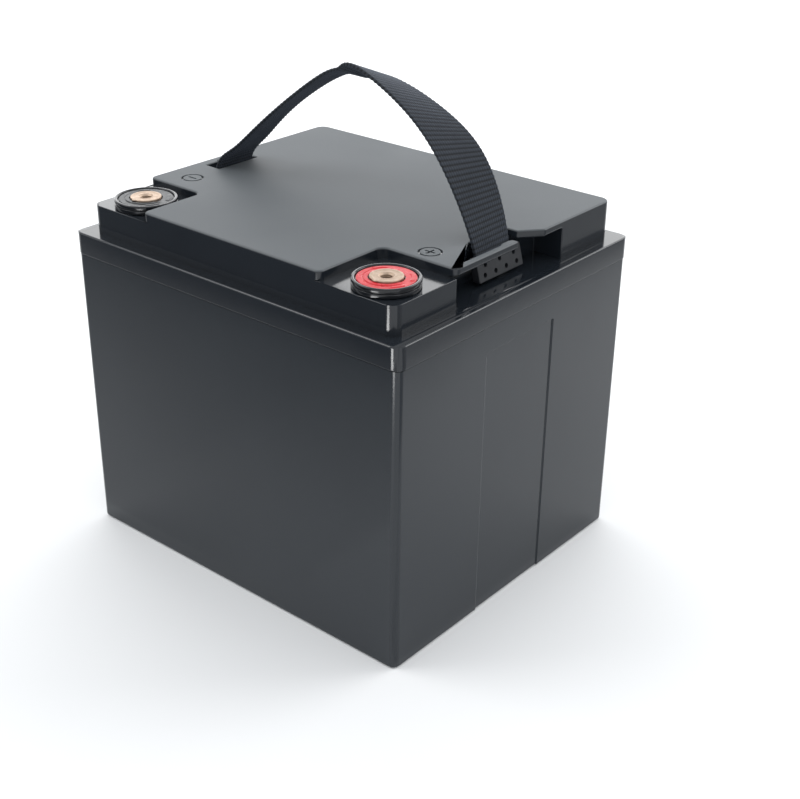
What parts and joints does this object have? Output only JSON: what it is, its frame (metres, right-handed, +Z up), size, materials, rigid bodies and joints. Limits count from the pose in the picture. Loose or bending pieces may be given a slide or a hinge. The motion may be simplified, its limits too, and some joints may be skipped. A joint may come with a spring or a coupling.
{
  "type": "rechargeable battery pack",
  "caption": "Box-shaped battery pack with a capped lid, sunken screw terminals in the front corners and a webbing carry strap.",
  "frame": {"origin": "middle of the base, on the surface that the pack stands on", "axes": "+X along the long side towards the positive terminal, +Y from the front face (where the terminals are) to the back, +Z up"},
  "size_m": [0.195, 0.166, 0.2327],
  "materials": {
    "case_plastic": "satin-gloss moulded ABS, charcoal black",
    "lid_plastic": "satin-gloss moulded ABS, charcoal black",
    "collar_plastic": "gloss black moulded plastic",
    "red_plate": "gloss red moulded plastic",
    "black_plate": "gloss black moulded plastic",
    "terminal_brass": "pale turned brass, dull",
    "strap_webbing": "woven polypropylene webbing, blue-black",
    "tab_plastic": "moulded nylon, dark grey",
    "sealant": "cured black sealant",
    "cell_case": "blue insulating film on an aluminium can",
    "plated_steel": "zinc-plated steel",
    "band_steel": "bright steel strip",
    "tinned_copper": "tinned copper",
    "busbar_copper": "bare copper",
    "epoxy_sheet": "glass-epoxy sheet, green",
    "foam": "black closed-cell foam",
    "circuit_board": "green solder mask",
    "heat_sink": "extruded aluminium",
    "red_insulation": "red silicone insulation",
    "black_insulation": "black silicone insulation",
    "white_insulation": "white silicone insulation"
  },
  "bodies": {
    "root": {"case": "case_plastic", "lid": "lid_plastic", "lid_sealant_bead": "sealant", "positive_terminal_collar": "collar_plastic", "positive_polarity_plate": "red_plate", "positive_terminal_insert": "terminal_brass", "positive_terminal_nut": "terminal_brass", "positive_lug_bolt": "plated_steel", "positive_terminal_lug": "tinned_copper", "positive_cell_lug": "tinned_copper", "negative_terminal_collar": "collar_plastic", "negative_polarity_plate": "black_plate", "negative_terminal_insert": "terminal_brass", "negative_terminal_nut": "terminal_brass", "negative_lug_bolt": "plated_steel", "negative_terminal_lug": "tinned_copper", "negative_cell_lug": "tinned_copper", "cell_1": "cell_case", "cell_1_nut_front": "plated_steel", "cell_1_nut_rear": "plated_steel", "cell_2": "cell_case", "cell_2_nut_front": "plated_steel", "cell_2_nut_rear": "plated_steel", "cell_3": "cell_case", "cell_3_nut_front": "plated_steel", "cell_3_nut_rear": "plated_steel", "cell_4": "cell_case", "cell_4_nut_front": "plated_steel", "cell_4_nut_rear": "plated_steel", "cell_separator_1": "epoxy_sheet", "cell_separator_2": "epoxy_sheet", "cell_separator_3": "epoxy_sheet", "end_plate_left": "epoxy_sheet", "foam_block_left": "foam", "end_plate_right": "epoxy_sheet", "foam_block_right": "foam", "foam_sheet_front": "foam", "foam_sheet_rear": "foam", "stack_band_lower": "band_steel", "stack_band_upper": "band_steel", "base_foam_pad": "foam", "busbar_1_2": "busbar_copper", "busbar_2_3": "busbar_copper", "busbar_3_4": "busbar_copper", "insulation_sheet": "epoxy_sheet", "protection_board": "circuit_board", "board_heat_sink": "heat_sink", "positive_cable": "red_insulation", "cell_negative_cable": "black_insulation", "terminal_negative_cable": "black_insulation", "sense_lead_1": "white_insulation", "sense_lead_2": "white_insulation", "sense_lead_3": "white_insulation", "sense_lead_4": "white_insulation", "sense_lead_5": "white_insulation"},
    "strap_ends": {"strap_root_right": "strap_webbing", "strap_root_left": "strap_webbing", "strap_end_tab_right": "tab_plastic", "strap_end_tab_left": "tab_plastic"},
    "handle": {"carry_strap": "strap_webbing"}
  },
  "joints": [
    {"name": "strap_lift", "type": "slide", "parent": "root", "child": "strap_ends", "axis": [0, 0, 1], "range_m": [-0.002, 0.0012]},
    {"name": "strap_swing", "type": "hinge", "parent": "strap_ends", "child": "handle", "pos_m": [0, 0.001, 0.186], "axis": [1, 0, 0], "range_deg": [-85, 85]}
  ]
}
